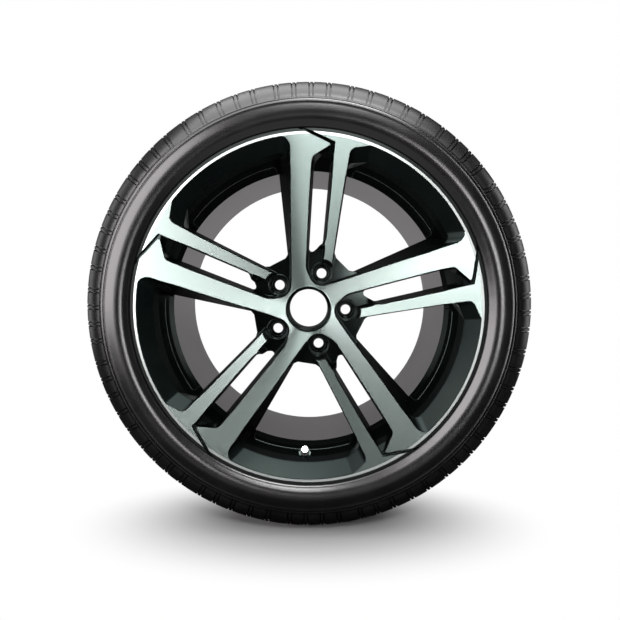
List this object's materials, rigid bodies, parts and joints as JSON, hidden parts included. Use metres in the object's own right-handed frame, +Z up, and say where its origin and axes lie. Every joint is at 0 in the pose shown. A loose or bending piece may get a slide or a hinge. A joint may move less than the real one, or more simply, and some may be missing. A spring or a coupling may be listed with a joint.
{
  "type": "wheel and tyre assembly",
  "caption": "Cast alloy car wheel with split spokes and a machined face, fitted with a low-profile tyre and a snap-in valve.",
  "frame": {"origin": "centre of the wheel: on the axle line, midway between the two rim flanges", "axes": "+Y along the axle towards the car, so the styled face looks towards -Y; +Z up; +X to the right seen from outside"},
  "size_m": [0.6452, 0.238, 0.645],
  "materials": {
    "alloy": "gloss black paint with a machined front face",
    "tyre_rubber": "matte",
    "valve_rubber": "satin",
    "brass": "satin",
    "cap_metal": "polished"
  },
  "bodies": {
    "wheel": {"wheel": "alloy", "tyre": "tyre_rubber", "valve_stem": "valve_rubber", "valve_tube": "brass", "valve_core": "brass"},
    "valve_pin": {"valve_pin": "brass"},
    "valve_cap": {"valve_cap": "cap_metal"}
  },
  "joints": [
    {"name": "valve_pin_press", "type": "slide", "parent": "wheel", "child": "valve_pin", "axis": [0.0148, -0.824, 0.5664], "range_m": [-0.0012, 0], "stiffness_N_per_m": 2500},
    {"name": "valve_cap_off", "type": "slide", "parent": "wheel", "child": "valve_cap", "axis": [0.0148, -0.824, 0.5664], "range_m": [0, 0.012]}
  ]
}
